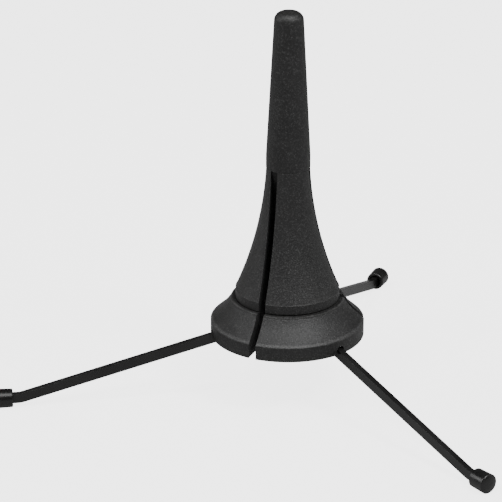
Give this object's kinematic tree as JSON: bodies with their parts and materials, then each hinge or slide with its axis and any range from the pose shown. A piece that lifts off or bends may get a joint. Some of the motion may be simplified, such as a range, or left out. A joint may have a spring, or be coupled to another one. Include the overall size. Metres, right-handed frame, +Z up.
{
  "type": "woodwind peg stand",
  "caption": "Folding peg stand for a clarinet or flute, with a flared bell seat, a slim upper peg and hinged flat legs on rubber feet.",
  "frame": {"origin": "on the peg's axis, at the foot of the cylindrical band that carries the bell", "axes": "+Z up along the peg; +X to the right and -Y to the front as the stand is usually seen; legs at about 38, 158 and 278 degrees round from the front"},
  "size_m": [0.2545, 0.2674, 0.2073],
  "materials": {
    "body_plastic": "fine-grained black ABS moulding",
    "peg_plastic": "fine-grained black ABS moulding, slightly smoother",
    "black_paint": "black satin powder coat on flat steel bar",
    "black_rubber": "black moulded rubber",
    "black_steel": "black zinc-plated steel",
    "pin_steel": "drawn steel rivet, oiled",
    "black_nylon": "black nylon"
  },
  "bodies": {
    "stand": {"flared_body": "body_plastic", "upper_peg": "peg_plastic", "peg_tie_screw": "black_steel", "peg_tie_washer": "black_steel", "leg_bracket_1": "black_steel", "bracket_screws_1": "black_steel", "hinge_pin_1": "pin_steel", "friction_washers_1": "black_nylon", "leg_bracket_2": "black_steel", "bracket_screws_2": "black_steel", "hinge_pin_2": "pin_steel", "friction_washers_2": "black_nylon", "leg_bracket_3": "black_steel", "bracket_screws_3": "black_steel", "hinge_pin_3": "pin_steel", "friction_washers_3": "black_nylon"},
    "leg_1_assembly": {"leg_1": "black_paint", "foot_cap_1": "black_rubber"},
    "leg_2_assembly": {"leg_2": "black_paint", "foot_cap_2": "black_rubber"},
    "leg_3_assembly": {"leg_3": "black_paint", "foot_cap_3": "black_rubber"}
  },
  "joints": [
    {"name": "leg_1_fold", "type": "hinge", "parent": "stand", "child": "leg_1_assembly", "pos_m": [0.0106, -0.00794, -0.01298], "axis": [0.7848, 0.6198, 0], "range_deg": [0, 236.3]},
    {"name": "leg_2_fold", "type": "hinge", "parent": "stand", "child": "leg_2_assembly", "pos_m": [0.00157, 0.01315, -0.01298], "axis": [-0.9291, 0.3697, 0], "range_deg": [0, 236.3]},
    {"name": "leg_3_fold", "type": "hinge", "parent": "stand", "child": "leg_3_assembly", "pos_m": [-0.01218, -0.00521, -0.01298], "axis": [0.1444, -0.9895, 0], "range_deg": [0, 236.3]}
  ]
}
